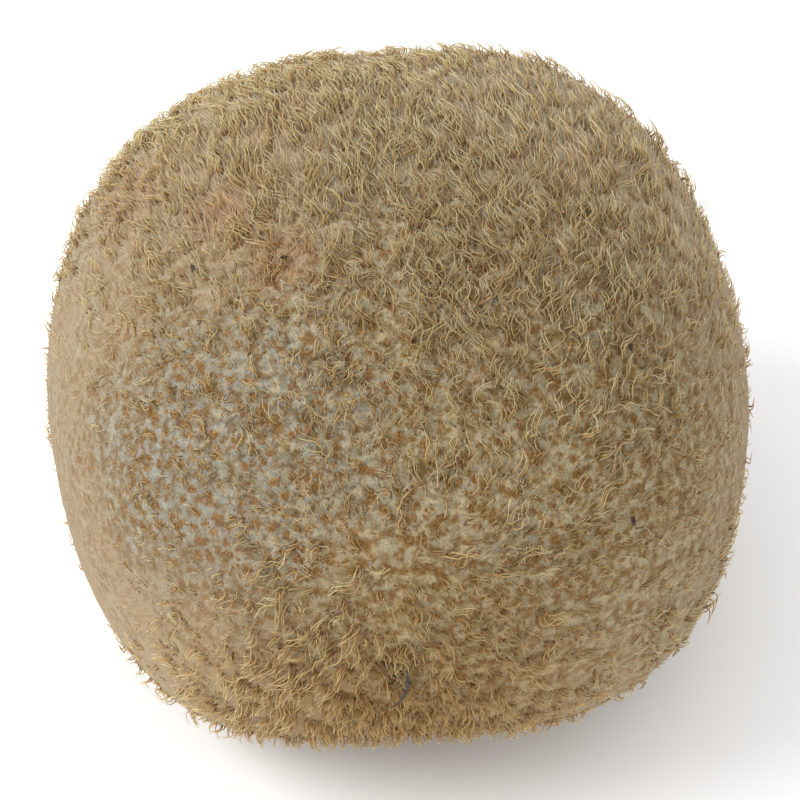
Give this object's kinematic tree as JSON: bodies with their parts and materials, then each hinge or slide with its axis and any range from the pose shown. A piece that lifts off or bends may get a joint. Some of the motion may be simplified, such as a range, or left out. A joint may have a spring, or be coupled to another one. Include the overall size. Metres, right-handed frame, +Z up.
{
  "type": "kiwi fruit",
  "caption": "Whole hairy green kiwi fruit lying on its side, with a dried style tuft at the blossom end and a woody scar at the stem end.",
  "frame": {"origin": "on the resting surface, below the middle of the fruit's bounding box", "axes": "+Z up; Y is the fruit's long axis, with the blossom end towards -Y and the stem end towards +Y; +X across the fruit"},
  "size_m": [0.0518, 0.0564, 0.0428],
  "materials": {
    "skin": "matt, felted brown-green fruit skin",
    "hair": "dry golden-brown hairs with a soft sheen",
    "woody": "dry, dark brown, woody"
  },
  "bodies": {
    "root": {"kiwi_fruit": "skin"}
  },
  "joints": []
}
